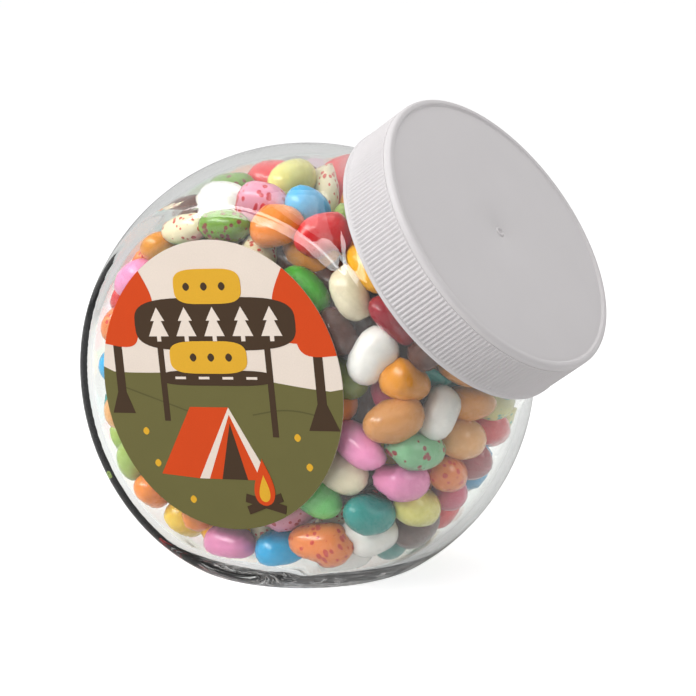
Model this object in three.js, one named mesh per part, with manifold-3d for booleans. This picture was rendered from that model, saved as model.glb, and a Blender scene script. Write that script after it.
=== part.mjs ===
// A glass sweet jar filled with jelly beans. The body is a squat spheroid with a flat front and back,
// standing on a flat cut in its round side, and its short neck leans up to the right. A white ribbed
// screw lid closes the neck, and a round paper label is stuck to the front flat.
// Millimetres, +Z up, +X to the side the neck leans to, -Y the front. The origin is the centre of
// the base flat, on the surface that the jar stands on.

import * as THREE from "three";
import { mergeVertices } from "three/addons/utils/BufferGeometryUtils.js";
import Module from "manifold-3d";

// Glass body: an arc turned about Y, cut flat at the front, the back and the base
const BODY_RADIUS = 64;
const SIDE_ARC = 67.7; // radius of the arc, seen from the side, that is turned into the body
const FLAT_OFFSET = 38.5; // from the body's centre to its front and back flats
const FLAT_FILLET = 5.2;
const BASE_DROP = 56; // from the body's centre down to the base flat
const WALL = 3.1;
const BASE_WALL = 5;
const INNER_FILLET = 7;

// Neck: a plain collar whose axis leans up from horizontal towards +X, measured from the body's centre
const NECK_RISE = THREE.MathUtils.degToRad(35.8);
const NECK_RADIUS = 38;
const BORE_RADIUS = 34.5;
const RIM_HEIGHT = 74.7;
const RIM_ROUNDING = 1.2;

// Screw lid
const LID_BOTTOM = 59.8; // heights along the neck's axis, from the body's centre
const LID_TOP = 77;
const LID_RADIUS = 42;
const LID_DRAFT = 0.3; // how much the skirt narrows from its lip to its top
const LID_CORNER = 1;
const LID_RIM_WIDTH = 2.4; // raised edge round the sunk top panel
const PANEL_SINK = 0.5;
const PANEL_WALL = 1.5;
const LID_BORE = 40.2;
const LIP_HEIGHT = 1.3;
const BAND_HEIGHT = 2.3; // smooth band above the ribs, with the corner
const RIB_COUNT = 210;
const RIB_CREST = 41.72;
const RIB_VALLEY = 41.35;
const SKIRT_ROOT = 41.15;
const GATE_RADIUS = 1.3; // moulding mark in the middle of the panel
const GATE_HEIGHT = 0.25;

// Label
const LABEL_RADIUS = 40;
const LABEL_THICKNESS = 0.25;
const LABEL_LIFT = 2; // the label's centre above the body's
const LABEL_SHIFT = -2.8; // and to the side away from the neck

// Heap of jelly beans: it fills the body and slopes down into the neck
const FIT_GAP = 0.3; // between neighbouring pieces
const HEAP_CREST_X = 18; // a point that the sloping top passes through, from the body's centre
const HEAP_CREST_Z = 51;
const HEAP_SLOPE = Math.tan(THREE.MathUtils.degToRad(25));
const LUMP_COUNT = 300;
const LUMP_DEPTH = 2.4; // how far the outline dips between two beans
const HEAP_MARGIN = 0.35; // between the tops of the lumps and the fill's limit
const HEAP_DETAIL = 9; // splits of each edge of the icosahedron that the heap is shaped from

// How finely the curves are cut: sides round an axis, and the step along an arc in radians
const TURNED_SIDES = 44;
const LID_SIDES = 60;
const SIDE_STEP = 0.19;
const FILLET_STEP = 0.4;
const CORNER_STEP = 0.6;
const RIM_STEP = 0.8;
const MERGE_WITHIN = 1e-4;
const HALVINGS = 18; // of the distance in which the fill's limit is looked for
const CUT_PAST = 2; // how far a cutting shape runs past the face that it opens

const wasm = await Module();
wasm.setup();

// ---- closed meshes to solids and back -------------------------------------------------------------

function mergedShape(geometry) {
  geometry.deleteAttribute("normal");
  geometry.deleteAttribute("uv");
  return mergeVertices(geometry, MERGE_WITHIN);
}

function solidOf(geometry) {
  const merged = mergedShape(geometry);
  return new wasm.Manifold(new wasm.Mesh({
    numProp: 3,
    vertProperties: merged.attributes.position.array,
    triVerts: new Uint32Array(merged.index.array),
  }));
}

function geometryOf(solid) {
  const { vertProperties, triVerts } = solid.getMesh();
  const geometry = new THREE.BufferGeometry();
  geometry.setAttribute("position", new THREE.BufferAttribute(new Float32Array(vertProperties), 3));
  geometry.setIndex(new THREE.BufferAttribute(new Uint32Array(triVerts), 1));
  geometry.computeVertexNormals();
  return geometry;
}

// An arc of a profile as points [radius, height]
function arcPoints(centreRadius, centreHeight, radius, from, to, maxStep = FILLET_STEP) {
  const steps = Math.max(2, Math.ceil(Math.abs(to - from) / maxStep));
  return Array.from({ length: steps + 1 }, (_, i) => {
    const angle = from + ((to - from) * i) / steps;
    return [centreRadius + radius * Math.cos(angle), centreHeight + radius * Math.sin(angle)];
  });
}

function turned(points, sides) {
  return new THREE.LatheGeometry(points.map(([radius, height]) => new THREE.Vector2(radius, height)), sides);
}

// Turns a shape made about Y so that its axis runs up the neck
function upTheNeck(geometry) {
  return geometry.rotateX(Math.PI / 2).rotateY(Math.PI / 2 - NECK_RISE);
}

function slabBelow(height) {
  const size = 4 * BODY_RADIUS;
  return solidOf(new THREE.BoxGeometry(size, size, size).translate(0, 0, height - size / 2));
}

// ---- glass jar, about the body's centre -----------------------------------------------------------

// The body's outline shrunk by inset on all sides, with its flats' edges rounded by fillet: the side
// arc and its centre's radius, the flats' offset, the fillet's centre and where the two arcs meet
function bodyOutline(inset, fillet) {
  const arc = SIDE_ARC - inset;
  const arcCentre = BODY_RADIUS - SIDE_ARC;
  const flat = FLAT_OFFSET - inset;
  const filletHeight = flat - fillet;
  const filletRadius = arcCentre + Math.sqrt((arc - fillet) ** 2 - filletHeight ** 2);
  const tangent = Math.atan2(filletHeight, filletRadius - arcCentre);
  return { arc, arcCentre, flat, fillet, filletHeight, filletRadius, tangent };
}

function bodySolid(inset, filletSize) {
  const outline = bodyOutline(inset, filletSize);
  const { arc, arcCentre, flat, fillet, filletHeight, filletRadius, tangent } = outline;
  return solidOf(turned([
    [0, -flat],
    ...arcPoints(filletRadius, -filletHeight, fillet, -Math.PI / 2, -tangent),
    ...arcPoints(arcCentre, 0, arc, -tangent, 0, SIDE_STEP).slice(1),
    ...arcPoints(arcCentre, 0, arc, 0, tangent, SIDE_STEP).slice(1, -1),
    ...arcPoints(filletRadius, filletHeight, fillet, tangent, Math.PI / 2),
    [0, flat],
  ], TURNED_SIDES));
}

function neckSolid(radius, top, rounding) {
  return solidOf(upTheNeck(turned([
    [0, 0],
    [radius, 0],
    ...arcPoints(radius - rounding, top - rounding, rounding, 0, Math.PI / 2, RIM_STEP),
    [0, top],
  ], TURNED_SIDES)));
}

function cavitySolid(gap) {
  const body = bodySolid(WALL + gap, INNER_FILLET).subtract(slabBelow(BASE_WALL + gap - BASE_DROP));
  return body.add(neckSolid(BORE_RADIUS - gap, RIM_HEIGHT + CUT_PAST, RIM_ROUNDING));
}

function glassJar() {
  const outside = bodySolid(0, FLAT_FILLET)
    .subtract(slabBelow(-BASE_DROP))
    .add(neckSolid(NECK_RADIUS, RIM_HEIGHT, RIM_ROUNDING));
  return outside.subtract(cavitySolid(0));
}

// ---- lid, along the neck's axis from the body's centre --------------------------------------------

function ribRing(bottom, top) {
  const outline = new THREE.Shape();
  for (let i = 0; i < 2 * RIB_COUNT; i++) {
    const angle = (Math.PI * i) / RIB_COUNT;
    const radius = i % 2 ? RIB_VALLEY : RIB_CREST;
    outline.lineTo(radius * Math.cos(angle), radius * Math.sin(angle));
  }
  const ring = new THREE.ExtrudeGeometry(outline, { depth: top - bottom, bevelEnabled: false });
  return solidOf(ring.translate(0, 0, bottom).rotateX(-Math.PI / 2));
}

function lidSolid() {
  const topRadius = LID_RADIUS - LID_DRAFT;
  const bandBottom = LID_TOP - BAND_HEIGHT;
  const lipTop = LID_BOTTOM + LIP_HEIGHT;
  const panelRadius = topRadius - LID_RIM_WIDTH;
  const panelTop = LID_TOP - PANEL_SINK;
  const cap = solidOf(turned([
    [0, LID_BOTTOM],
    [LID_RADIUS, LID_BOTTOM],
    [LID_RADIUS, lipTop],
    [SKIRT_ROOT, lipTop + RIB_CREST - SKIRT_ROOT],
    [SKIRT_ROOT, bandBottom - RIB_CREST + SKIRT_ROOT],
    [topRadius, bandBottom],
    ...arcPoints(topRadius - LID_CORNER, LID_TOP - LID_CORNER, LID_CORNER, 0, Math.PI / 2, CORNER_STEP),
    [panelRadius + PANEL_SINK, LID_TOP],
    [panelRadius, panelTop],
    [GATE_RADIUS, panelTop],
    [GATE_RADIUS - GATE_HEIGHT, panelTop + GATE_HEIGHT],
    [0, panelTop + GATE_HEIGHT],
  ], LID_SIDES));
  const inside = solidOf(turned([
    [0, LID_BOTTOM - CUT_PAST],
    [LID_BORE, LID_BOTTOM - CUT_PAST],
    [LID_BORE, panelTop - PANEL_WALL],
    [0, panelTop - PANEL_WALL],
  ], LID_SIDES));
  return cap.add(ribRing(lipTop, bandBottom)).subtract(inside);
}

// ---- heap of jelly beans, about the body's centre -------------------------------------------------

const inner = bodyOutline(WALL, INNER_FILLET);

function insideFill(point) {
  const across = Math.hypot(point.x, point.z);
  const side = Math.abs(point.y);
  const atFillet = side > inner.filletHeight && across > inner.filletRadius;
  const inBody = side < inner.flat
    && Math.hypot(across - inner.arcCentre, side) < inner.arc
    && !(atFillet && Math.hypot(across - inner.filletRadius, side - inner.filletHeight) > inner.fillet)
    && point.z > BASE_WALL - BASE_DROP;
  const alongNeck = point.x * Math.cos(NECK_RISE) + point.z * Math.sin(NECK_RISE);
  const offNeck = Math.sqrt(Math.max(0, point.lengthSq() - alongNeck ** 2));
  const inNeck = offNeck < BORE_RADIUS && alongNeck > 0 && alongNeck < RIM_HEIGHT;
  const underSlope = point.z < HEAP_CREST_Z - HEAP_SLOPE * (point.x - HEAP_CREST_X);
  return (inBody || inNeck) && underSlope;
}

// How far the fill reaches from the body's centre along a direction
function reachAlong(direction) {
  let inside = 0;
  let outside = RIM_HEIGHT + BORE_RADIUS;
  const point = new THREE.Vector3();
  for (let halving = 0; halving < HALVINGS; halving++) {
    const middle = (inside + outside) / 2;
    if (insideFill(point.copy(direction).multiplyScalar(middle))) inside = middle;
    else outside = middle;
  }
  return inside;
}

// Evenly spread directions, one for each bean that bulges the heap's outline
function lumpDirections() {
  const goldenAngle = Math.PI * (3 - Math.sqrt(5));
  return Array.from({ length: LUMP_COUNT }, (_, i) => {
    const height = 1 - (2 * i + 1) / LUMP_COUNT;
    const across = Math.sqrt(1 - height ** 2);
    return new THREE.Vector3(across * Math.cos(goldenAngle * i), across * Math.sin(goldenAngle * i), height);
  });
}

function heapSolid() {
  const lumps = lumpDirections();
  const lumpReach = Math.sqrt(4 / LUMP_COUNT); // half the spacing of the lumps, on a sphere of radius 1
  const shape = mergedShape(new THREE.IcosahedronGeometry(1, HEAP_DETAIL));
  const position = shape.attributes.position;
  const direction = new THREE.Vector3();
  for (let i = 0; i < position.count; i++) {
    direction.fromBufferAttribute(position, i).normalize();
    const nearest = Math.min(...lumps.map((lump) => lump.distanceTo(direction)));
    const dip = LUMP_DEPTH * Math.min(1, nearest / lumpReach) ** 2;
    direction.multiplyScalar(reachAlong(direction) - FIT_GAP - HEAP_MARGIN - dip);
    position.setXYZ(i, direction.x, direction.y, direction.z);
  }
  return solidOf(shape).intersect(cavitySolid(FIT_GAP));
}

// ---- the jar --------------------------------------------------------------------------------------

const glass = new THREE.MeshStandardMaterial({
  color: 0xe6ede8, roughness: 0.05, metalness: 0, transparent: true, opacity: 0.35,
});
const whitePlastic = new THREE.MeshStandardMaterial({ color: 0xdedcdd, roughness: 0.45, metalness: 0 });
const sugarShell = new THREE.MeshStandardMaterial({ color: 0xd9832f, roughness: 0.3, metalness: 0 });
const printedPaper = new THREE.MeshStandardMaterial({ color: 0xf2e3d5, roughness: 0.5, metalness: 0 });

function named(name, geometry, material) {
  const mesh = new THREE.Mesh(geometry, material);
  mesh.name = name;
  return mesh;
}

const body = new THREE.Group();
body.position.z = BASE_DROP;

const label = named(
  "label",
  new THREE.CylinderGeometry(LABEL_RADIUS, LABEL_RADIUS, LABEL_THICKNESS, TURNED_SIDES),
  printedPaper,
);
label.position.set(LABEL_SHIFT, -FLAT_OFFSET - LABEL_THICKNESS / 2, LABEL_LIFT);

const lid = named("lid", upTheNeck(geometryOf(lidSolid())), whitePlastic);

body.add(
  named("jar_glass", geometryOf(glassJar()), glass),
  named("jelly_beans", geometryOf(heapSolid()), sugarShell),
  lid,
  label,
);

const jar = new THREE.Group();
jar.add(body);

export default jar;
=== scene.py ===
"""A round-sided glass jar of jelly beans with a ribbed white screw lid and a round printed label.

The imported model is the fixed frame. Every visible piece is modelled here in its place: the glass, the
lid, the label with its printed fields, and the beans over a core. The frame is in metres, +Z up, -Y
the front. Shapes are worked out in millimetres about the body's centre, and to_frame places them.
"""

import math

import bpy
import numpy as np
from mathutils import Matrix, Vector


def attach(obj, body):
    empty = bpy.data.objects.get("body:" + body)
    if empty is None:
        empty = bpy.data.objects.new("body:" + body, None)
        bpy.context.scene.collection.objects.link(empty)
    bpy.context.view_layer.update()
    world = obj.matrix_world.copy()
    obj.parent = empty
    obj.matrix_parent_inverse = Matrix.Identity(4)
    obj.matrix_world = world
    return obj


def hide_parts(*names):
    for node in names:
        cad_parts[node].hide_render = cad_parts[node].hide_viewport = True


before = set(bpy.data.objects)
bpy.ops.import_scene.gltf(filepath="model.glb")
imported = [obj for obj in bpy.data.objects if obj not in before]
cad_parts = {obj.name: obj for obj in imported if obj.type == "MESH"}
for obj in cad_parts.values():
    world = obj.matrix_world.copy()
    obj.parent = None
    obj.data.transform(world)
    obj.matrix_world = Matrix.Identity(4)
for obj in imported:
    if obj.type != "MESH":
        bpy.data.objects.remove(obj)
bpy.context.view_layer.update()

MM = 0.001

# Glass body, as in the frame: an arc turned about Y with flats in front, behind and below
BODY_RADIUS = 64.0
SIDE_ARC = 67.7
FLAT_OFFSET = 38.5
FLAT_FILLET = 5.2
BASE_DROP = 56.0
HEEL_ROUND = 2.5
INNER_HEEL_ROUND = 4.5
WALL = 3.1
BASE_WALL = 5.0
INNER_FILLET = 7.0
ARC_CENTRE = BODY_RADIUS - SIDE_ARC

# Neck and lid, along an axis that leans up towards +X
NECK_RISE = math.radians(35.8)
NECK_AXIS = np.array([math.cos(NECK_RISE), 0.0, math.sin(NECK_RISE)])
NECK_RADIUS = 38.0
NECK_CREASE = 0.6  # fillet between neck and body beside the flats
NECK_BLEND = 4.0  # and how much larger it is elsewhere
BORE_RADIUS = 34.5
BORE_BLEND = 6.0
RIM_HEIGHT = 74.7
RIM_ROUNDING = 1.2
LID_BOTTOM = 59.8
LID_TOP = 77.0
LID_RADIUS = 42.0
LID_BORE = 40.2
LID_DRAFT = 0.32
LID_CORNER = 1.0
LID_WALL = 1.5
PANEL_SINK = 0.5
BAND_HEIGHT = 2.0
LIP_HEIGHT = 1.3
RIB_COUNT = 210
RIB_CREST = 41.72
RIB_DEPTH = 0.5
RIBS_FROM = LID_BOTTOM + 1.45
RIBS_TO = LID_TOP - 2.25
STEPS_PER_RIB = 6

# Label
LABEL_RADIUS = 40.0
LABEL_LIFT = 2.0
LABEL_SHIFT = -2.8
LABEL_TURN = math.radians(6.5)  # the label was stuck on a little turned
LABEL_GAP = 0.05
PAPER_THICKNESS = 0.2
INK_THICKNESS = 0.02
INK_BITE = 0.05  # how far each ink's field goes into the paper
PRINT_MARGIN = 0.02

# Heap of beans, whose sloping top passes through the crest
HEAP_CREST_X = 18.0
HEAP_CREST_Z = 54.0  # the highest beans stand 3 mm over the level of the frame's heap
HEAP_SLOPE = math.radians(25)

# Camera, in degrees and metres and with its lens in millimetres. It looks a little to the right of the
# body's centre and above it.
CAMERA_AZIMUTH = 33.8
CAMERA_ELEVATION = 12.3
CAMERA_DISTANCE = 0.700
AIM_RIGHT = 0.01145
AIM_UP = 0.0058
SENSOR_WIDTH = 36
FOCAL_LENGTH = 127.4

BALL_SHARE = 0.475  # a bean is packed as three balls, their radius this share of its thickness
RANDOM_SEED = 11


# ---- small tools ----------------------------------------------------------------------------------


def srgb(hex_colour):
    """An sRGB hex colour as linear RGBA."""
    parts = [int(hex_colour[i : i + 2], 16) / 255 for i in (1, 3, 5)]
    linear = [c / 12.92 if c <= 0.04045 else ((c + 0.055) / 1.055) ** 2.4 for c in parts]
    return (*linear, 1.0)


def node(tree, kind, links=(), **settings):
    """Adds a node, sets its properties or input values by name, and links (output, input) pairs to it."""
    made = tree.nodes.new(kind)
    for name, value in settings.items():
        if name in made.bl_rna.properties:
            setattr(made, name, value)
        else:
            made.inputs[name.replace("_", " ")].default_value = value
    for output, name in links:
        tree.links.new(output, made.inputs[name])
    return made


def new_material(name):
    """A material with an empty node tree and its output node."""
    material = bpy.data.materials.new(name)
    material.use_nodes = True
    material.node_tree.nodes.clear()
    return material, material.node_tree, material.node_tree.nodes.new("ShaderNodeOutputMaterial")


def deselect():
    if bpy.context.object and bpy.context.object.mode != "OBJECT":
        bpy.ops.object.mode_set(mode="OBJECT")
    bpy.ops.object.select_all(action="DESELECT")


def select_only(*objects):
    deselect()
    for o in objects:
        o.select_set(True)
    bpy.context.view_layer.objects.active = objects[0]


def points_of(mesh):
    co = np.empty(len(mesh.vertices) * 3)
    mesh.vertices.foreach_get("co", co)
    return co.reshape(-1, 3)


def set_points(mesh, points):
    mesh.vertices.foreach_set("co", np.ascontiguousarray(points, dtype=np.float32).ravel())
    mesh.update()


def outward(o):
    """Makes a closed mesh's faces point outwards."""
    select_only(o)
    bpy.ops.object.mode_set(mode="EDIT")
    bpy.ops.mesh.select_all(action="SELECT")
    bpy.ops.mesh.remove_doubles(threshold=1e-7)
    bpy.ops.mesh.normals_make_consistent(inside=False)
    bpy.ops.object.mode_set(mode="OBJECT")


def to_frame(points):
    """Millimetres about the body's centre to metres in the frame."""
    return (np.asarray(points) + [0, 0, BASE_DROP]) * MM


def neck_frame():
    """Three unit vectors as rows: two across the neck and its axis."""
    across = np.array([0.0, 1.0, 0.0])
    return np.array([np.cross(across, NECK_AXIS), across, NECK_AXIS])


# ---- the jar's form -------------------------------------------------------------------------------


def meet_round(a, b, radius):
    """Both of two distance fields, with a rounded edge."""
    u, v = np.maximum(a + radius, 0), np.maximum(b + radius, 0)
    return np.minimum(np.maximum(a, b), -radius) + np.hypot(u, v)


def join_round(a, b, radius):
    """Either of two distance fields, with a fillet between them."""
    u, v = np.maximum(radius - a, 0), np.maximum(radius - b, 0)
    return np.maximum(np.minimum(a, b), radius) - np.hypot(u, v)


def body_field(p, inset, fillet):
    """How far points are outside the body shrunk by inset, its flats' edges rounded by fillet."""
    across = np.hypot(p[:, 0], p[:, 2])
    side = np.abs(p[:, 1])
    arc = SIDE_ARC - inset
    flat = FLAT_OFFSET - inset
    fillet_side = flat - fillet
    fillet_across = ARC_CENTRE + math.sqrt((arc - fillet) ** 2 - fillet_side**2)
    tangent = math.atan2(fillet_side, fillet_across - ARC_CENTRE)
    off_arc = np.hypot(across - ARC_CENTRE, side) - arc
    off_fillet = np.hypot(across - fillet_across, side - fillet_side) - fillet
    angle = np.arctan2(side - fillet_side, across - fillet_across)
    at_fillet = (angle > tangent) & (across > fillet_across)
    return np.where(at_fillet, off_fillet, np.maximum(off_arc, side - flat))


def neck_field(p, radius):
    along = p @ NECK_AXIS
    off_axis = np.sqrt(np.maximum((p**2).sum(1) - along**2, 0))
    return np.maximum(off_axis - radius, -along)


def outside_field(p):
    # the blend fades where the neck's sides lie along the body's flats
    fade = 1 - np.clip(np.abs(p[:, 1]) / NECK_RADIUS, 0, 1) ** 4
    blend = NECK_CREASE + NECK_BLEND * fade
    shape = join_round(body_field(p, 0, FLAT_FILLET), neck_field(p, NECK_RADIUS), blend)
    return meet_round(shape, -p[:, 2] - BASE_DROP, HEEL_ROUND)


def inside_field(p, gap=0.0):
    body = body_field(p, WALL + gap, INNER_FILLET)
    shape = join_round(body, neck_field(p, BORE_RADIUS - gap), BORE_BLEND)
    return meet_round(shape, -p[:, 2] - BASE_DROP + BASE_WALL + gap, INNER_HEEL_ROUND)


def reach(field, directions, halvings=26):
    """How far each direction goes from the centre before it leaves the field's shape."""
    inside = np.zeros(len(directions))
    outside = np.full(len(directions), RIM_HEIGHT + BORE_RADIUS)
    for _ in range(halvings):
        middle = (inside + outside) / 2
        within = field(directions * middle[:, None]) < 0
        inside = np.where(within, middle, inside)
        outside = np.where(within, outside, middle)
    return inside


# ---- stage ----------------------------------------------------------------------------------------


def area_light(name, place, aim, size, power):
    light = bpy.data.lights.new(name, "AREA")
    light.shape = "RECTANGLE"
    light.size, light.size_y = size
    light.energy = power
    lamp = bpy.data.objects.new(name, light)
    bpy.context.scene.collection.objects.link(lamp)
    lamp.location = place
    lamp.rotation_euler = (Vector(aim) - Vector(place)).to_track_quat("-Z", "Y").to_euler()


def straight_through(tree):
    """1 for rays from the camera, also through glass, and 0 for rays that a surface has reflected."""
    path = node(tree, "ShaderNodeLightPath")
    direct = node(
        tree,
        "ShaderNodeMath",
        [(path.outputs["Is Camera Ray"], 0), (path.outputs["Is Transmission Ray"], 1)],
        operation="MAXIMUM",
    )
    bounced = node(tree, "ShaderNodeMath", [(path.outputs["Glossy Depth"], 0)], operation="LESS_THAN")
    bounced.inputs[1].default_value = 0.5
    both = node(
        tree, "ShaderNodeMath", [(direct.outputs[0], 0), (bounced.outputs[0], 1)], operation="MULTIPLY"
    )
    return both.outputs[0]


def turned_back(tree):
    """1 for rays that have both entered glass and been mirrored, and 0 for all others."""
    path = node(tree, "ShaderNodeLightPath")
    inside = node(
        tree, "ShaderNodeMath", [(path.outputs["Transmission Depth"], 0)], operation="GREATER_THAN"
    )
    reflected = node(tree, "ShaderNodeMath", [(path.outputs["Glossy Depth"], 0)], operation="GREATER_THAN")
    inside.inputs[1].default_value = 0.5
    reflected.inputs[1].default_value = 0.5
    both = node(
        tree, "ShaderNodeMath", [(inside.outputs[0], 0), (reflected.outputs[0], 1)], operation="MULTIPLY"
    )
    return both.outputs[0]


def build_stage():
    scene = bpy.context.scene
    scene.view_settings.view_transform = "Standard"
    world = bpy.data.worlds.new("studio")
    scene.world = world
    world.use_nodes = True
    tree = world.node_tree
    tree.nodes.clear()
    output = tree.nodes.new("ShaderNodeOutputWorld")
    # a white sweep behind the jar, and a dark room on the camera's side
    ray = node(tree, "ShaderNodeTexCoord").outputs["Generated"]
    behind = node(tree, "ShaderNodeVectorMath", [(ray, 0)], operation="DOT_PRODUCT")
    behind.inputs[1].default_value = (-0.72, 0.64, 0.25)
    fade = node(
        tree,
        "ShaderNodeMapRange",
        [(behind.outputs["Value"], "Value")],
        From_Min=-0.25,
        From_Max=0.6,
        To_Min=0.08,
        To_Max=0.72,
    )
    path = node(tree, "ShaderNodeLightPath")
    # the thick edges of the glass bend the view round to the dark side, which real walls keep grey
    edge = node(
        tree, "ShaderNodeMapRange", [(straight_through(tree), "Value")], To_Min=0.0, To_Max=0.45
    )
    walls = node(
        tree, "ShaderNodeMath", [(edge.outputs[0], 0), (fade.outputs[0], 1)], operation="MAXIMUM"
    )
    seen = node(
        tree,
        "ShaderNodeMath",
        [(path.outputs["Is Camera Ray"], 0), (walls.outputs[0], 1)],
        operation="MAXIMUM",
    )
    room = node(tree, "ShaderNodeBackground", [(seen.outputs[0], "Strength")], Color=srgb("#FFFFFF"))
    tree.links.new(room.outputs[0], output.inputs["Surface"])

    deselect()
    bpy.ops.mesh.primitive_plane_add(size=6)
    floor = bpy.context.object
    floor.name = "floor"
    material, tree, output = new_material("white sweep paper")
    # seen directly or through glass it is as bright as in a white studio; its reflection is dimmer, so that
    # no haze veils the jar
    paper = node(tree, "ShaderNodeBsdfDiffuse", Color=srgb("#C8C8C8"))
    strength = node(
        tree, "ShaderNodeMapRange", [(straight_through(tree), "Value")], To_Min=0.12, To_Max=0.76
    )
    # the thick edges of the glass turn the view down to the paper, and show it grey
    edge = node(tree, "ShaderNodeMapRange", [(turned_back(tree), "Value")], To_Min=0.0, To_Max=0.4)
    brighter = node(
        tree, "ShaderNodeMath", [(strength.outputs[0], 0), (edge.outputs[0], 1)], operation="MAXIMUM"
    )
    glow = node(tree, "ShaderNodeEmission", [(brighter.outputs[0], "Strength")], Color=srgb("#FFFFFF"))
    lit = node(tree, "ShaderNodeAddShader", [(paper.outputs[0], 0), (glow.outputs[0], 1)])
    tree.links.new(lit.outputs[0], output.inputs["Surface"])
    floor.data.materials.append(material)

    centre = (0, 0, BASE_DROP * MM)
    area_light("key strip softbox", (-0.40, -0.85, 0.66), centre, (1.1, 0.28), 8.5)
    area_light("overhead softbox", (0.1, 0.05, 0.95), centre, (0.7, 0.7), 2.4)
    area_light("fill softbox", (1.05, 0.25, 0.65), centre, (0.5, 0.6), 2.9)


def build_camera():
    """A long lens in front and to the right of the jar, a little above it."""
    azimuth, elevation = math.radians(CAMERA_AZIMUTH), math.radians(CAMERA_ELEVATION)
    back = Vector(
        (
            math.sin(azimuth) * math.cos(elevation),
            -math.cos(azimuth) * math.cos(elevation),
            math.sin(elevation),
        )
    )
    right = Vector((math.cos(azimuth), math.sin(azimuth), 0))
    up = back.cross(right)
    body_centre = Vector((0, 0, BASE_DROP * MM))
    aim = body_centre + right * AIM_RIGHT + up * AIM_UP
    data = bpy.data.cameras.new("camera")
    data.sensor_width = SENSOR_WIDTH
    data.lens = FOCAL_LENGTH
    camera = bpy.data.objects.new("camera", data)
    bpy.context.scene.collection.objects.link(camera)
    camera.location = body_centre + back * CAMERA_DISTANCE
    camera.rotation_euler = (aim - camera.location).to_track_quat("-Z", "Y").to_euler()
    bpy.context.scene.camera = camera


# ---- materials ------------------------------------------------------------------------------------


def clear_glass():
    """Soda-lime jar glass, blown in a mould: clear, glossy, faintly green where it is thick."""
    material, tree, output = new_material("soda-lime glass, mould blown")
    coords = node(tree, "ShaderNodeTexCoord")
    # the mould leaves slow ripples about 18 mm apart, too shallow to model
    ripple = node(tree, "ShaderNodeTexNoise", [(coords.outputs["Object"], "Vector")], Scale=55.0, Detail=1.0)
    bump = node(
        tree, "ShaderNodeBump", [(ripple.outputs["Fac"], "Height")], Strength=0.15, Distance=0.0003
    )
    glass = node(
        tree,
        "ShaderNodeBsdfPrincipled",
        [(bump.outputs["Normal"], "Normal")],
        Base_Color=srgb("#F8FAF8"),
        Roughness=0.0,
        IOR=1.5,
        Transmission_Weight=1.0,
    )
    clear = node(tree, "ShaderNodeBsdfTransparent", Color=srgb("#FCFCFC"))
    path = node(tree, "ShaderNodeLightPath")
    # lamps shine through the wall, so that the beans inside are lit
    mix = node(
        tree,
        "ShaderNodeMixShader",
        [(path.outputs["Is Shadow Ray"], 0), (glass.outputs[0], 1), (clear.outputs[0], 2)],
    )
    tree.links.new(mix.outputs[0], output.inputs["Surface"])
    return material


def moulded_plastic():
    """Polypropylene, injection moulded: white, satin, with a very fine spark-eroded grain."""
    material, tree, output = new_material("polypropylene, injection moulded")
    coords = node(tree, "ShaderNodeTexCoord")
    # the mould's grain is about 0.1 mm; drawn at 0.4 mm so that it shows
    grain = node(tree, "ShaderNodeTexNoise", [(coords.outputs["Object"], "Vector")], Scale=2500.0, Detail=1.0)
    cloud = node(tree, "ShaderNodeTexNoise", [(coords.outputs["Object"], "Vector")], Scale=60.0, Detail=3.0)
    rough = node(
        tree,
        "ShaderNodeMapRange",
        [(cloud.outputs["Fac"], "Value")],
        To_Min=0.36,
        To_Max=0.48,
    )
    bump = node(tree, "ShaderNodeBump", [(grain.outputs["Fac"], "Height")], Strength=0.03, Distance=0.0001)
    tone = node(
        tree,
        "ShaderNodeMix",
        [(cloud.outputs["Fac"], 0)],
        data_type="RGBA",
    )
    tone.inputs[6].default_value = srgb("#DEDADB")
    tone.inputs[7].default_value = srgb("#E4E0E1")
    shader = node(
        tree,
        "ShaderNodeBsdfPrincipled",
        [(rough.outputs[0], "Roughness"), (bump.outputs[0], "Normal"), (tone.outputs[2], "Base Color")],
        IOR=1.49,
    )
    tree.links.new(shader.outputs[0], output.inputs["Surface"])
    return material


# ---- glass jar ------------------------------------------------------------------------------------

GLASS_SEGMENTS = 256
GLASS_RINGS = 300
RIM_ROWS = 8
# The rings are closer together on the neck and its blend, where the wall bends most
RINGS_CROWDED = 0.38
CROWDING_POWER = 2.2


def round_the_neck(turn, radius, height):
    """Points at an angle round the neck's axis, a radius off it and a height along it."""
    local = np.stack([radius * np.cos(turn), radius * np.sin(turn), height], axis=1)
    return local @ neck_frame()


def wall_points(field, turn, polar):
    """Points where rays from the body's centre meet the field's shape, polar being off the neck's axis."""
    direction = round_the_neck(turn, np.sin(polar), np.cos(polar))
    return direction * reach(field, direction)[:, None]


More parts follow.
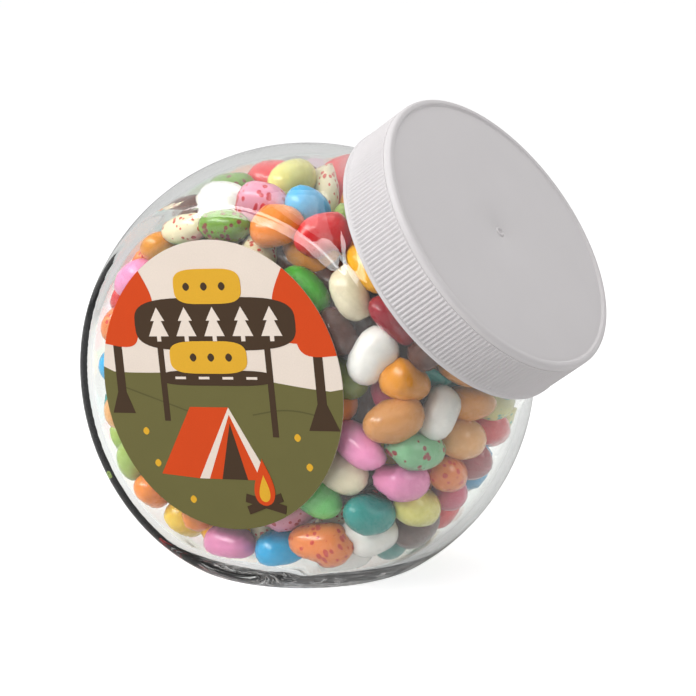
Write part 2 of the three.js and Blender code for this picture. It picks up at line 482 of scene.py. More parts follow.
def build_glass():
    """A sphere is opened into a jar: its rings climb the outside from below, cross the rim and go down
    the inside, and each point slides along its ray from the centre to the wall."""
    deselect()
    bpy.ops.mesh.primitive_uv_sphere_add(segments=GLASS_SEGMENTS, ring_count=GLASS_RINGS, radius=1)
    jar = bpy.context.object
    jar.name = "glass_jar"
    unit = points_of(jar.data)
    row = np.arccos(np.clip(unit[:, 2], -1, 1)) / math.pi * GLASS_RINGS
    turn = np.arctan2(unit[:, 1], unit[:, 0])

    rim_foot = RIM_HEIGHT - RIM_ROUNDING
    outer_rim = math.atan2(NECK_RADIUS, rim_foot)
    inner_rim = math.atan2(BORE_RADIUS, rim_foot)
    wall_rows = (GLASS_RINGS - RIM_ROWS) // 2
    steps = np.linspace(0, 1, wall_rows + 1)
    spread = (1 - RINGS_CROWDED) * steps + RINGS_CROWDED * (1 - (1 - steps) ** CROWDING_POWER)
    outer_polar = math.pi - (math.pi - outer_rim) * spread
    inner_polar = math.pi - (math.pi - inner_rim) * spread

    place = np.zeros_like(unit)
    rows = np.arange(wall_rows + 1)
    outer = row <= wall_rows + 0.5
    inner = row >= GLASS_RINGS - wall_rows - 0.5
    place[outer] = wall_points(outside_field, turn[outer], np.interp(row[outer], rows, outer_polar))
    from_end = GLASS_RINGS - row[inner]
    place[inner] = wall_points(inside_field, turn[inner], np.interp(from_end, rows, inner_polar))
    rim = ~(outer | inner)
    arc = (row[rim] - wall_rows) / RIM_ROWS * math.pi
    middle = (NECK_RADIUS + BORE_RADIUS) / 2
    half = (NECK_RADIUS - BORE_RADIUS) / 2
    height = rim_foot + RIM_ROUNDING * np.sin(arc)
    place[rim] = round_the_neck(turn[rim], middle + half * np.cos(arc), height)
    set_points(jar.data, to_frame(place))
    outward(jar)
    select_only(jar)
    bpy.ops.object.shade_smooth()
    jar.data.materials.append(clear_glass())
    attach(jar, "root")
    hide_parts("jar_glass")


# ---- lid ------------------------------------------------------------------------------------------


def arc_points(centre, radius, start, end, count):
    angles = np.radians(np.linspace(start, end, count))
    return [(centre[0] + radius * math.cos(a), centre[1] + radius * math.sin(a)) for a in angles]


def lid_profile():
    """Radius and height along the neck's axis, from the panel's middle round the skirt and back inside."""
    top_radius = LID_RADIUS - LID_DRAFT
    panel = LID_TOP - PANEL_SINK
    band = LID_TOP - BAND_HEIGHT
    lip = LID_BOTTOM + LIP_HEIGHT
    ceiling = panel - LID_WALL
    return [
        (0.0, panel - 0.3),
        (0.5, panel - 0.3),
        (0.75, panel - 0.1),
        *arc_points((1.1, panel + 0.02), 0.24, 150, 30, 5),
        (1.5, panel - 0.16),
        (1.9, panel - 0.02),
        (12.0, panel),
        (25.0, panel),
        (38.6, panel),
        (39.1, panel - 0.08),
        (39.4, panel - 0.14),
        (39.65, panel - 0.02),
        (39.85, LID_TOP - 0.24),
        *arc_points((40.15, LID_TOP - 0.3), 0.3, 160, 90, 4),
        *arc_points((top_radius - LID_CORNER, LID_TOP - LID_CORNER), LID_CORNER, 90, 0, 9),
        (top_radius + 0.02, band + 0.35),
        *arc_points((top_radius - 0.23, band + 0.15), 0.25, 0, -80, 4),
        (RIB_CREST - 0.02, band - 0.14),
        (RIB_CREST, band - 0.6),
        (RIB_CREST, band - 1.1),
        (RIB_CREST + 0.05, (band + lip) / 2),
        (RIB_CREST + 0.1, lip + 0.7),
        (RIB_CREST + 0.1, lip + 0.25),
        (RIB_CREST + 0.12, lip + 0.08),
        *arc_points((LID_RADIUS - 0.2, lip - 0.15), 0.2, 80, 0, 4),
        *arc_points((LID_RADIUS - 0.25, LID_BOTTOM + 0.25), 0.25, 0, -90, 5),
        (LID_BORE + 0.5, LID_BOTTOM),
        (LID_BORE, LID_BOTTOM + 0.5),
        (LID_BORE, ceiling - 1.2),
        (LID_BORE - 0.9, ceiling - 0.1),
        (30.0, ceiling),
        (0.0, ceiling),
    ]


def build_lid():
    """The profile is spun round the neck's axis, and the ribs are pressed into the skirt."""
    profile = lid_profile()
    mesh = bpy.data.meshes.new("screw_lid")
    mesh.from_pydata(
        [(r * MM, 0, h * MM) for r, h in profile], [(i, i + 1) for i in range(len(profile) - 1)], []
    )
    lid = bpy.data.objects.new("screw_lid", mesh)
    bpy.context.scene.collection.objects.link(lid)
    select_only(lid)
    bpy.ops.object.mode_set(mode="EDIT")
    bpy.ops.mesh.select_all(action="SELECT")
    bpy.ops.mesh.spin(
        steps=RIB_COUNT * STEPS_PER_RIB, angle=math.tau, center=(0, 0, 0), axis=(0, 0, 1), use_auto_merge=True
    )
    bpy.ops.mesh.select_all(action="SELECT")
    bpy.ops.mesh.remove_doubles(threshold=2e-6)
    bpy.ops.mesh.normals_make_consistent(inside=False)
    bpy.ops.object.mode_set(mode="OBJECT")

    p = points_of(mesh) / MM
    radius, height = np.hypot(p[:, 0], p[:, 1]), p[:, 2]
    angle = np.arctan2(p[:, 1], p[:, 0])
    rounded = 0.5 - 0.5 * np.cos(RIB_COUNT * angle)
    fade = np.clip((height - RIBS_FROM) / 0.5, 0, 1) * np.clip((RIBS_TO - height) / 0.6, 0, 1)
    outer_wall = radius > LID_BORE + 0.9
    pressed = np.where(outer_wall, RIB_DEPTH * rounded * fade, 0)
    p[:, :2] *= ((radius - pressed) / np.maximum(radius, 1e-6))[:, None]
    set_points(mesh, to_frame(p @ neck_frame()))
    select_only(lid)
    bpy.ops.object.shade_smooth_by_angle(angle=math.radians(65))
    mesh.materials.append(moulded_plastic())
    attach(lid, "root")
    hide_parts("lid")


# ---- jelly beans ----------------------------------------------------------------------------------

# Each kind of bean: its shell's colour, its specks' colour if it has any, and its weight in the draw of
# the loose beans
KINDS = {
    "lemon_pale": ("#E4DC78", None, 6),
    "lemon_blue_specks": ("#DCD98C", "#3AA7A0", 3),
    "yellow": ("#E3BC34", None, 5),
    "bright_yellow": ("#F2AE00", None, 5),
    "amber": ("#E08E12", None, 6),
    "orange": ("#EC8420", None, 7),
    "orange_red_specks": ("#EA8138", "#C8321E", 6),
    "peach": ("#DDA05C", None, 4),
    "caramel": ("#C58440", None, 3),
    "cocoa": ("#552A1A", None, 5),
    "red": ("#D8141C", None, 7),
    "cherry": ("#9C1A2C", None, 4),
    "pink": ("#E488B6", None, 8),
    "pink_red_specks": ("#E898B2", "#C4283C", 4),
    "rose": ("#CC4468", None, 4),
    "sky_blue": ("#0AA2D8", None, 5),
    "teal": ("#0A8F88", None, 4),
    "white": ("#E8E4E0", None, 7),
    "cream": ("#E0D4B6", None, 5),
    "cream_red_specks": ("#E2D6B4", "#C04634", 4),
    "mint_green": ("#6CC868", None, 4),
    "green": ("#42A822", None, 4),
    "olive_green": ("#788A0C", None, 4),
    "lime": ("#A2BE54", None, 4),
    "sage_red_specks": ("#78AE82", "#8C3034", 3),
    "moss_red_specks": ("#6C962A", "#7A2A20", 3),
}

# The beans that show most, laid in runs against the wall. A run starts at a bearing round the
# upright axis, from the front towards the neck, and a rise above the body's centre. Its heading is 0 to
# the right and 90 upwards, and lean turns each bean's length from level. All four are in degrees. The
# kinds follow each other along the run, each as far from the last as its size and lean ask.
RUNS = [
    (41, 22, 0, -60, "cocoa cherry white"),
    (50, 14, 0, 60, "white cocoa moss_red_specks"),
    (42, 7, 0, -20, "olive_green amber caramel"),
    (39, -3, 0, 65, "orange caramel white amber lemon_blue_specks"),
    (47, -12, 0, -20, "pink sage_red_specks peach red lemon_blue_specks"),
    (42, -22, 0, -25, "cream pink orange_red_specks cherry"),
    (34, -33, 0, -15, "mint_green teal lemon_pale rose"),
    (34, -44, 0, 18, "orange_red_specks white cocoa red"),
    (-10, -57, 0, -10, "pink sky_blue white teal green"),
    (46, 32, 0, 60, "cream orange green"),
    (29, 36, 0, -60, "green bright_yellow"),
    (-38, 52, 0, 15, "cream_red_specks moss_red_specks orange red"),
    (-75, 64, 0, 20, "rose white pink_red_specks sky_blue lime"),
    (-60, 80, 0, 60, "red lemon_pale cream_red_specks"),
    (-50, -52, 90, 25, "yellow orange lime peach sky_blue orange_red_specks pink amber cocoa "
                       "moss_red_specks"),
]
LENGTHS = (14.4, 17.8)
THICKNESSES = (10.1, 11.9)
LEAN_SPREAD = 16.0
DIP_SPREAD = 14.0  # how far a laid bean may point into the heap
DEPTH_SPREAD = 0.8

# One bean's form, each drawn between two limits
BLUNTNESS = (2.4, 3.0)  # powers of a superellipse seen from the side
FULLNESS = (1.95, 2.1)
TAPER = (-0.1, 0.1)
FLATNESS = (0.9, 0.98)
BEND = (0.3, 1.1)
HOLLOW = (0, 0.12)

HEAP_COUNT = 372
HEAP_DEPTH = 23.0  # how far below the wall the core lies
HEAP_GAP = 0.35
BELOW_RIM = 0.5
SETTLE_STEPS = 320
NEW_SEARCH = 6  # steps between two searches for neighbours
NEIGHBOURS_WITHIN = 19.0
SHOVE = 0.6  # share of an overlap that one step undoes
LIFT = 0.3  # and share of its way back that a ball too deep is lifted
HOLD = 0.35  # how strongly a laid bean is drawn back to its place
LAID_ROOM = 9.0  # no loose bean starts nearer than this to a laid one
# Loose beans start in a box about the heap, between two depths
TRIES = 4000
TRIES_CENTRE = (12, 0, 2)
TRIES_REACH = (76, 36, 62)
START_DEPTHS = (5.0, 20.0)
CORE_LUMPS = 260
CORE_RISE = 9.0  # how far a lump's top stands out of the core
CORE_ROUND = 60.0  # and how fast it falls away round its top
CORE_LEAST = 8.0
LAID_CUTS = 4  # a cube cut into 150 faces for the beans that show most
LOOSE_CUTS = 2  # and into 54 for the hundreds of others


def direction_of(bearing, rise):
    b, e = math.radians(bearing), math.radians(rise)
    return np.array([math.sin(b) * math.cos(e), -math.cos(b) * math.cos(e), math.sin(e)])


def heap_limit(p):
    """How far points are outside the space that the heap fills."""
    over_slope = (p[:, 2] - HEAP_CREST_Z) * math.cos(HEAP_SLOPE)
    over_slope = over_slope + (p[:, 0] - HEAP_CREST_X) * math.sin(HEAP_SLOPE)
    past_rim = p @ NECK_AXIS - (RIM_HEIGHT - BELOW_RIM)
    return np.maximum(np.maximum(inside_field(p), over_slope), past_rim)


def slope_of(field, p, step=0.2):
    """The field's unit gradient at points."""
    shifts = np.eye(3) * step
    g = np.stack([field(p + d) - field(p - d) for d in shifts], axis=1)
    return g / np.maximum(np.linalg.norm(g, axis=1, keepdims=True), 1e-9)


def laid_bean(bearing, rise, lean, dip, depth, length, thickness):
    """Centre and long axis of a bean that lies at or near the wall."""
    out = direction_of(bearing, rise)[None]
    on_wall = out * (reach(heap_limit, out)[0] - 1)
    normal = slope_of(heap_limit, on_wall)[0]
    radius = thickness * BALL_SHARE
    tilt = math.sin(math.radians(dip)) * (length / 2 - radius)
    centre = on_wall[0] - normal * (heap_limit(on_wall)[0] + radius + tilt + depth + HEAP_GAP)
    turn = math.radians(bearing)
    level = np.array([math.cos(turn), math.sin(turn), 0])
    level -= (level @ normal) * normal
    level /= np.linalg.norm(level)
    upward = np.cross(normal, level)
    lean, dip = math.radians(lean), math.radians(dip)
    along = math.cos(lean) * level + math.sin(lean) * upward
    return centre, math.cos(dip) * along - math.sin(dip) * normal


def lay_runs(random):
    """Kind, length, thickness, centre and long axis of each bean that is laid one by one."""
    laid = []
    for bearing, rise, heading, lean, kinds in RUNS:
        ahead = math.radians(heading)
        for kind in kinds.split():
            length, thickness = random.uniform(*LENGTHS), random.uniform(*THICKNESSES)
            turn = lean + random.uniform(-LEAN_SPREAD, LEAN_SPREAD)
            dip, depth = random.uniform(0, DIP_SPREAD), random.uniform(0, DEPTH_SPREAD)
            centre, axis = laid_bean(bearing, rise, turn, dip, depth, length, thickness)
            laid.append((kind, length, thickness, centre, axis))
            off_run = math.radians(turn) - ahead
            room = math.hypot(length * math.cos(off_run), thickness * math.sin(off_run))
            away = np.linalg.norm(centre)
            bearing += math.degrees(room * math.cos(ahead) / (away * math.cos(math.radians(rise))))
            rise += math.degrees(room * math.sin(ahead) / away)
    return laid


def scatter(random, count, laid):
    """Random places between the wall and the core, clear of the laid beans, with random directions."""
    points = np.empty((0, 3))
    while len(points) < count:
        tries = random.uniform(-1, 1, (TRIES, 3)) * TRIES_REACH + TRIES_CENTRE
        depth = -heap_limit(tries)
        tries = tries[(depth > START_DEPTHS[0]) & (depth < START_DEPTHS[1])]
        nearest = np.linalg.norm(tries[:, None] - laid[None], axis=2).min(1)
        tries = tries[nearest > LAID_ROOM]
        points = np.vstack([points, tries])
    axes = random.normal(size=(count, 3))
    return points[:count], axes / np.linalg.norm(axes, axis=1, keepdims=True)


def settle(centres, axes, spans, radii, homes):
    """Pushes overlapping beans apart and in from the wall until they lie packed. Each bean is three
    balls in a row. homes holds the places of the first beans, which are drawn back to them."""
    placed = len(homes[0])
    rows = np.array([-1.0, 0.0, 1.0])
    count = len(centres)
    ball_radii = np.repeat(radii, 3)
    for step in range(SETTLE_STEPS):
        balls = centres[:, None] + axes[:, None] * (rows * spans[:, None])[:, :, None]
        if step % NEW_SEARCH == 0:
            apart = np.linalg.norm(centres[:, None] - centres[None], axis=2)
            near = np.triu(apart < NEIGHBOURS_WITHIN, 1)
            first, second = np.nonzero(near)
        gap = balls[first][:, :, None] - balls[second][:, None]
        distance = np.linalg.norm(gap, axis=3)
        overlap = (radii[first] + radii[second])[:, None, None] - distance
        overlap = np.maximum(overlap, 0) / np.maximum(distance, 1e-6) * 0.5
        shove = gap * overlap[..., None]
        push = np.zeros_like(balls)
        np.add.at(push, first, shove.sum(2))
        np.add.at(push, second, -shove.sum(1))
        flat = (balls + push * SHOVE).reshape(-1, 3)
        limit = heap_limit(flat)
        normal = slope_of(heap_limit, flat)
        out = np.maximum(limit + ball_radii + HEAP_GAP, 0)
        sunk = np.maximum(-limit + ball_radii - HEAP_DEPTH, 0) * LIFT
        flat = flat + normal * (sunk - out)[:, None]
        moved = flat.reshape(count, 3, 3)
        centres = moved.mean(1)
        axes = moved[:, 2] - moved[:, 0]
        axes /= np.linalg.norm(axes, axis=1, keepdims=True)
        centres[:placed] += (homes[0] - centres[:placed]) * HOLD
        axes[:placed] += (homes[1] - axes[:placed]) * HOLD
        axes /= np.linalg.norm(axes, axis=1, keepdims=True)
    return centres, axes


def bean_template(cuts):
    """A cube's faces are cut in a grid and rounded to a ball: the points and faces of one bean."""
    deselect()
    bpy.ops.mesh.primitive_cube_add(size=2)
    block = bpy.context.object
    bpy.ops.object.mode_set(mode="EDIT")
    bpy.ops.mesh.select_all(action="SELECT")
    bpy.ops.mesh.subdivide(number_cuts=cuts)
    bpy.ops.object.mode_set(mode="OBJECT")
    cube = points_of(block.data)
    after, last = np.roll(cube, -1, axis=1) ** 2, np.roll(cube, -2, axis=1) ** 2
    ball = cube * np.sqrt(1 - after / 2 - last / 2 + after * last / 3)
    faces = np.array([list(face.vertices) for face in block.data.polygons])
    bpy.data.objects.remove(block, do_unlink=True)
    return ball, faces


def bean_points(ball, length, thickness, random):
    """One bean's points along X: a plump rod with blunt ends, bent a little like a kidney."""
    x = ball[:, 0]
    ring = ball[:, 1:] / np.maximum(np.linalg.norm(ball[:, 1:], axis=1, keepdims=True), 1e-9)
    blunt = random.uniform(*BLUNTNESS)
    girth = np.maximum(1 - np.abs(x) ** blunt, 0) ** (1 / random.uniform(*FULLNESS))
    girth = girth * (1 + random.uniform(*TAPER) * x)
    wide, deep = thickness / 2, thickness / 2 * random.uniform(*FLATNESS)
    y = ring[:, 0] * girth * wide
    z = ring[:, 1] * girth * deep
    bend = random.uniform(*BEND)
    hollow = random.uniform(*HOLLOW) * np.exp(-((x / 0.4) ** 2)) * np.clip(ring[:, 1], 0, 1)
    return np.stack([x * length / 2, y, z * (1 - hollow) + bend * (0.33 - x**2)], axis=1)


def turned_to(axis, roll):
    """A rotation matrix whose first column is axis."""
    side = np.cross(axis, [0.3, 0.2, 0.93])
    side /= np.linalg.norm(side)
    other = np.cross(axis, side)
    c, s = math.cos(roll), math.sin(roll)
    return np.stack([axis, c * side + s * other, c * other - s * side], axis=1)


def sugar_shell(name, colour, speck):
    """A panned sugar shell over jelly, polished with wax: glossy, a little translucent and uneven."""
    material, tree, output = new_material("panned sugar shell, " + name.replace("_", " "))
    coords = node(tree, "ShaderNodeTexCoord").outputs["Object"]
    tone = node(tree, "ShaderNodeAttribute", attribute_name="tone")
    # the coats of syrup settle unevenly, in patches of about 4 mm with finer mottling inside them
    patches = node(
        tree, "ShaderNodeTexNoise", [(coords, "Vector")], Scale=260.0, Detail=5.0, Roughness=0.6
    )
    shade = node(
        tree,
        "ShaderNodeMath",
        [(tone.outputs["Fac"], 0), (patches.outputs["Fac"], 1)],
        operation="ADD",
    )
    value = node(
        tree,
        "ShaderNodeMapRange",
        [(shade.outputs[0], "Value")],
        From_Min=0.3,
        From_Max=1.7,
        To_Min=0.82,
        To_Max=1.1,
    )
    base = node(tree, "ShaderNodeHueSaturation", [(value.outputs[0], "Value")], Color=srgb(colour))
    surface = base.outputs[0]
    if speck:
        # freckles of stronger colour, 0.5 to 1.7 mm across and about 2 mm apart
        cells = node(tree, "ShaderNodeTexVoronoi", [(coords, "Vector")], Scale=520.0, Randomness=1.0)
        gate = node(tree, "ShaderNodeTexNoise", [(coords, "Vector")], Scale=260.0, Detail=1.0)
        size = node(
            tree,
            "ShaderNodeMapRange",
            [(gate.outputs["Fac"], "Value")],
            From_Min=0.3,
            From_Max=0.58,
            To_Min=0.12,
            To_Max=0.44,
        )
        dot = node(
            tree,
            "ShaderNodeMath",
            [(size.outputs[0], 0), (cells.outputs["Distance"], 1)],
            operation="SUBTRACT",
        )
        mask = node(
            tree,
            "ShaderNodeMapRange",
            [(dot.outputs[0], "Value")],
            From_Min=0.0,
            From_Max=0.08,
        )
        mixed = node(tree, "ShaderNodeMix", [(mask.outputs[0], 0), (surface, 6)], data_type="RGBA")
        mixed.inputs[7].default_value = srgb(speck)
        surface = mixed.outputs[2]
    # shallow dimples about 2.5 mm apart with a finer orange peel, left by beans that rolled together
    dimples = node(tree, "ShaderNodeTexNoise", [(coords, "Vector")], Scale=400.0, Detail=3.0)
    bump = node(tree, "ShaderNodeBump", [(dimples.outputs["Fac"], "Height")], Strength=0.35, Distance=0.0003)
    gloss = node(
        tree,
        "ShaderNodeMapRange",
        [(patches.outputs["Fac"], "Value")],
        To_Min=0.2,
        To_Max=0.34,
    )
    shader = node(
        tree,
        "ShaderNodeBsdfPrincipled",
        [(surface, "Base Color"), (gloss.outputs[0], "Roughness"), (bump.outputs[0], "Normal")],
        Subsurface_Weight=0.12,
        Subsurface_Scale=0.0012,
        Subsurface_Radius=(1.0, 0.7, 0.5),
        Coat_Weight=0.4,
        Coat_Roughness=0.12,
        IOR=1.42,
    )
    tree.links.new(shader.outputs[0], output.inputs["Surface"])
    return material


def joined_beans(name, parts, material):
    """One piece from many beans' points and faces, with each bean's tone as an attribute."""
    points = np.vstack([p for p, _, _ in parts])
    starts = np.cumsum([0] + [len(p) for p, _, _ in parts])
    all_faces = np.vstack([faces + start for (_, faces, _), start in zip(parts, starts)])
    tones = np.concatenate([np.full(len(p), tone, np.float32) for p, _, tone in parts])
    mesh = bpy.data.meshes.new(name)
    mesh.from_pydata(to_frame(points).tolist(), [], all_faces.tolist())
    attribute = mesh.attributes.new("tone", "FLOAT", "POINT")
    attribute.data.foreach_set("value", tones)
    mesh.materials.append(material)
    beans = bpy.data.objects.new(name, mesh)
    bpy.context.scene.collection.objects.link(beans)
    outward(beans)
    select_only(beans)
    bpy.ops.object.shade_smooth()
    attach(beans, "root")
    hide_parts("jelly_beans")


def build_beans():
    random = np.random.default_rng(RANDOM_SEED)
    kinds, lengths, thick, *homes = zip(*lay_runs(random))
    homes = np.array(homes)
    laid = len(kinds)
    extra = HEAP_COUNT - laid
    spots, leans = scatter(random, extra, homes[0])
    centres = np.vstack([homes[0], spots])
    axes = np.vstack([homes[1], leans])
    lengths = np.concatenate([lengths, random.uniform(*LENGTHS, extra)])
    thick = np.concatenate([thick, random.uniform(*THICKNESSES, extra)])
    radii = thick * BALL_SHARE
    centres, axes = settle(centres, axes, lengths / 2 - radii, radii, homes)

    names = list(KINDS)
    shares = np.array([KINDS[name][2] for name in names], dtype=float)
    chosen = random.choice(len(names), size=extra, p=shares / shares.sum())
    kinds = [*kinds, *(names[i] for i in chosen)]
    fine, plain = bean_template(LAID_CUTS), bean_template(LOOSE_CUTS)
    parts = {name: [] for name in names}
    for i, kind in enumerate(kinds):
        ball, faces = fine if i < laid else plain
        local = bean_points(ball, lengths[i], thick[i], random)
        turn = turned_to(axes[i], random.uniform(0, math.tau))
        parts[kind].append((local @ turn.T + centres[i], faces, random.uniform(0, 1)))
    for name in names:
        colour, speck, _ = KINDS[name]
        joined_beans("beans_" + name, parts[name], sugar_shell(name, colour, speck))


def build_core():
    """The middle of the heap, out of sight but for the gaps between beans: a lumpy ball on the same form,
    dark brown as painted shade in those gaps.
    """
    deselect()
    bpy.ops.mesh.primitive_ico_sphere_add(subdivisions=6, radius=1)
    core = bpy.context.object
    core.name = "bean_core_painted_shade"
    unit = points_of(core.data)
    random = np.random.default_rng(RANDOM_SEED + 1)
    lumps = random.normal(size=(CORE_LUMPS, 3))
    lumps /= np.linalg.norm(lumps, axis=1, keepdims=True)
    nearest = np.sqrt(np.maximum(2 - 2 * (unit @ lumps.T).max(1), 0))
    reached = reach(heap_limit, unit)
    depth = np.minimum(HEAP_DEPTH - CORE_RISE + CORE_ROUND * nearest**2, HEAP_DEPTH)
    set_points(core.data, to_frame(unit * np.maximum(reached - depth, CORE_LEAST)[:, None]))
    outward(core)
    select_only(core)
    bpy.ops.object.shade_smooth()
    # the core's dark brown is painted shade, for the deep gaps between the beans
    core.data.materials.append(sugar_shell("core", "#4A2414", None))
    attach(core, "root")
    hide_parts("jelly_beans")


# ---- label ----------------------------------------------------------------------------------------

INKS = {
    "cream": "#F2E3D5",
    "olive": "#6E693A",
    "dark_olive": "#5C5830",
    "orange": "#DC480A",
    "brown": "#46321F",
    "mustard": "#E9B12C",
}


def printed_paper(ink):
    """Coated label paper, offset printed: flat even ink with a fine dot and a slight sheen."""
    material, tree, output = new_material("coated paper, " + ink.replace("_", " ") + " ink")
    coords = node(tree, "ShaderNodeTexCoord").outputs["Object"]
    # the ink takes unevenly in clouds about 8 mm apart; its dots of 0.1 mm are drawn at 0.4 mm
    clouds = node(tree, "ShaderNodeTexNoise", [(coords, "Vector")], Scale=120.0, Detail=2.0)
    dots = node(tree, "ShaderNodeTexNoise", [(coords, "Vector")], Scale=2500.0, Detail=0.0)
    both = node(
        tree, "ShaderNodeMath", [(clouds.outputs["Fac"], 0), (dots.outputs["Fac"], 1)], operation="ADD"
    )
    value = node(
        tree,
        "ShaderNodeMapRange",
        [(both.outputs[0], "Value")],
        From_Min=0.4,
        From_Max=1.6,
        To_Min=0.96,
        To_Max=1.04,
    )
    tint = node(tree, "ShaderNodeHueSaturation", [(value.outputs[0], "Value")], Color=srgb(INKS[ink]))
    bump = node(tree, "ShaderNodeBump", [(dots.outputs["Fac"], "Height")], Strength=0.05, Distance=0.0001)
    shader = node(
        tree,
        "ShaderNodeBsdfPrincipled",
        [(tint.outputs[0], "Base Color"), (bump.outputs[0], "Normal")],
        Roughness=0.65,
        IOR=1.35,
    )
    tree.links.new(shader.outputs[0], output.inputs["Surface"])
    return material


def rim_arc(start, end, count=24):
    """Points along the label's edge between two angles in degrees, anticlockwise from the right."""
    return arc_points((0, 0), LABEL_RADIUS - PRINT_MARGIN, start, end, count)


def softened(outline, rounds=3):
    """A closed outline with its corners cut off again and again until they are round."""
    points = np.array(outline, dtype=float)
    for _ in range(rounds):
        after = np.roll(points, -1, axis=0)
        points = np.stack([points * 0.75 + after * 0.25, points * 0.25 + after * 0.75], axis=1)
        points = points.reshape(-1, 2)
    return points


def turned(outline):
    """An outline turned with the label."""
    c, s = math.cos(LABEL_TURN), math.sin(LABEL_TURN)
    return np.asarray(outline, dtype=float) @ np.array([[c, s], [-s, c]])


def plaque(centre, width, height):
    """A board with round corners."""
    angle = np.radians(np.arange(0, 360, 7.5))
    c, s = np.cos(angle), np.sin(angle)
    x = np.sign(c) * np.abs(c) ** 0.5 * width / 2
    z = np.sign(s) * np.abs(s) ** 0.6 * height / 2
    return np.stack([x, z], axis=1) + centre


def stroke(line, width):
    """A thin band along a smoothed open line."""
    line = np.array(line, dtype=float)
    for _ in range(3):
        inner = np.stack([line[:-1] * 0.75 + line[1:] * 0.25, line[:-1] * 0.25 + line[1:] * 0.75], axis=1)
        line = np.vstack([line[:1], inner.reshape(-1, 2), line[-1:]])
    along = np.gradient(line, axis=0)
    along /= np.linalg.norm(along, axis=1, keepdims=True)
    side = np.stack([-along[:, 1], along[:, 0]], axis=1) * width / 2
    return np.vstack([line + side, (line - side)[::-1]])


def pine(size):
    """A simple fir tree of two triangles on a short trunk."""
    half = size * 0.36
    right = [
        (half * 0.7, size * 0.1),
        (half * 0.35, size * 0.1),
        (half, -size * 0.35),
        (half * 0.2, -size * 0.35),
        (half * 0.2, -size * 0.5),
    ]
    return [(0, size * 0.5), *right, *[(-x, z) for x, z in right[::-1]]]


def diamond(size):
    return softened([(-size, 0), (0, -size), (size, 0), (0, size)], 2)


def post(x, foot, top, width, flare):
    """An upright bar whose foot spreads by flare on each side."""
    half, knee = width / 2, foot + (top - foot) * 0.3
    left = [(x - half, top), (x - half, knee), (x - half - flare, foot)]
    return [*left, *[(2 * x - across, up) for across, up in left[::-1]]]


def foliage(start, end, lobes, depth):
    """A tree's leaves at the label's edge: an arc of the rim closed by round lobes."""
    rim = np.array(rim_arc(start, end))
    along = np.linspace(0, 1, 12 * lobes + 1)[1:-1, None]
    chord = rim[-1] + (rim[0] - rim[-1]) * along
    inward = -chord.mean(0) / np.linalg.norm(chord.mean(0))
    bulge = depth * np.sin(math.pi * along) + 2.5 * np.abs(np.sin(lobes * math.pi * along))
    return np.vstack([rim, chord + inward * bulge])


def gable(centre, foot, width, height):
    """A triangle on its base, for the front of a ridge tent."""
    return [(centre - width / 2, foot), (centre + width / 2, foot), (centre, foot + height)]


def flame(centre, width, height):
    """A drop with its point up."""
    angle = np.radians(np.arange(0, 360, 12))
    x = np.sin(angle) * np.abs(np.sin(angle / 2)) ** 1.4 * width / 2
    return np.stack([x, np.cos(angle) * height / 2], axis=1) + centre


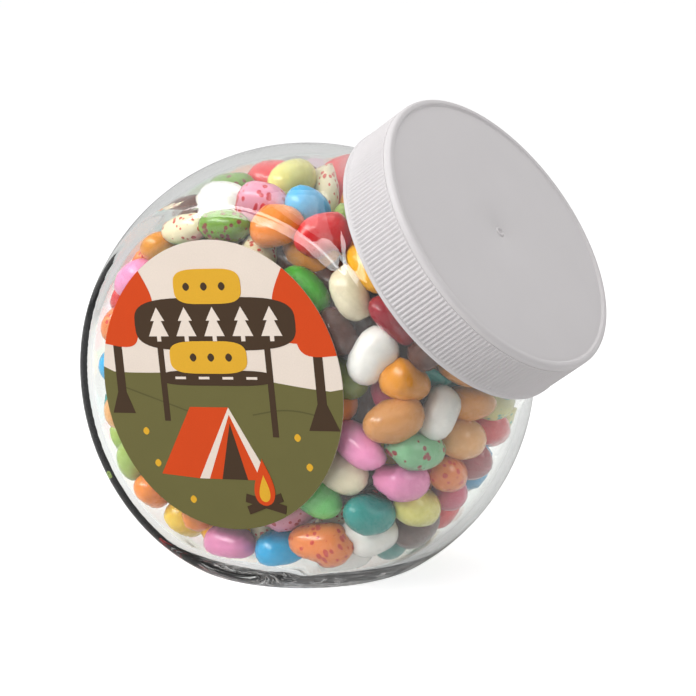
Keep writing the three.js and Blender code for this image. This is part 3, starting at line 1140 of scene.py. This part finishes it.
def label_print():
    """The printed fields from the back to the front: level, ink and outline about the label's centre."""
    horizon = [(x, 2.2 - 0.07 * x + math.cos(x / 12)) for x in range(36, -37, -6)]
    tent_foot, tent_width, tent_height, tent_length = -26.0, 24.0, 20.0, 13.0
    ridge = tent_foot + tent_height
    tent_side = [(-10, tent_foot), (2, ridge), (2 - tent_length, ridge), (-10 - tent_length, tent_foot + 1)]
    rows = [
        (1, "olive", [*rim_arc(172.5, 359, 60), *horizon]),
        (2, "dark_olive", stroke([(-35, 0), (-22, -4), (-9, -8)], 0.4)),
        (2, "dark_olive", stroke([(10, -8), (22, -6), (36, -9)], 0.4)),
        (3, "brown", post(-34, -8, 12, 3, 2.5)),
        (3, "brown", post(33, -12, 12, 3, 3.5)),
        (3, "brown", post(-19, -10, 12, 2, 0)),
        (3, "brown", post(17, -14, 12, 2, 0)),
        (4, "orange", foliage(127, 163, 3, 10)),
        (4, "orange", foliage(12, 53, 3, 10)),
        (5, "brown", plaque((0, 17), 54, 14.6)),
        (5, "brown", plaque((-1, 2.1), 37.5, 4.2)),
        (6, "mustard", plaque((-1, 27.3), 22.6, 9.6)),
        (6, "mustard", plaque((-3, 7.8), 26, 9)),
        (3, "orange", tent_side),
        (4, "cream", gable(2, tent_foot, tent_width, tent_height)),
        (5, "orange", gable(2, tent_foot, tent_width * 0.72, tent_height * 0.9)),
        (6, "brown", gable(2, tent_foot, tent_width * 0.36, tent_height * 0.78)),
        (7, "brown", stroke([(5, -31), (18, -34)], 2.4)),
        (8, "brown", stroke([(5.5, -34.5), (17, -30.5)], 2.4)),
        (9, "orange", flame((11.5, -26.5), 9.5, 13)),
        (10, "mustard", flame((11.5, -28.2), 5, 7.5)),
    ]
    for step in (-19, -9.5, 0, 9.5, 19):
        rows.append((6, "cream", np.array(pine(9.5)) + (step, 17)))
    for step in (-12, -4, 4, 12):
        rows.append((6, "cream", stroke([(step - 2.8, 2.1), (step + 0.8, 2.1)], 0.7)))
    for height in (27.3, 7.8):
        rows += [(7, "brown", diamond(1.5) + (step - 2, height)) for step in (-6, 0, 6)]
    for place in ((-27, -13), (-24, -22), (24, -14), (27, -22), (-13, -32)):
        rows.append((3, "mustard", diamond(1.4) + place))
    return rows


def print_field(paper, outline, near, far):
    """One inked field: its outline is drawn as a face and pulled forward from far to near, in mm."""
    outline = np.array(outline, dtype=float)
    span = np.linalg.norm(outline, axis=1, keepdims=True)
    outline *= np.minimum(1, LABEL_RADIUS / np.maximum(span, 1e-6))
    deselect()
    bpy.ops.mesh.primitive_circle_add(vertices=len(outline), fill_type="NGON")
    field = bpy.context.object
    x, z = outline.T + np.array([[LABEL_SHIFT], [LABEL_LIFT]])
    set_points(field.data, to_frame(np.stack([x, np.full(len(x), far), z], axis=1)))
    bpy.ops.object.mode_set(mode="EDIT")
    bpy.ops.mesh.select_all(action="SELECT")
    bpy.ops.mesh.extrude_region_move(TRANSFORM_OT_translate={"value": (0, (near - far) * MM, 0)})
    bpy.ops.mesh.select_all(action="SELECT")
    bpy.ops.mesh.normals_make_consistent(inside=False)
    bpy.ops.object.mode_set(mode="OBJECT")
    field.data.materials.append(paper)
    return field


def build_label():
    """A round of paper with its printed fields, each ink a hair nearer than the one under it."""
    back = -FLAT_OFFSET - LABEL_GAP
    face = back - PAPER_THICKNESS
    papers = {ink: printed_paper(ink) for ink in INKS}
    fields = [print_field(papers["cream"], rim_arc(0, 357.5, 144), face, back)]
    for level, ink, outline in label_print():
        near = face - level * INK_THICKNESS
        fields.append(print_field(papers[ink], turned(outline), near, face + INK_BITE))
    select_only(*fields)
    bpy.ops.object.join()
    label = bpy.context.object
    label.name = "round_label"
    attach(label, "root")
    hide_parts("label")


build_stage()
build_camera()
build_glass()
build_lid()
build_label()
build_core()
build_beans()
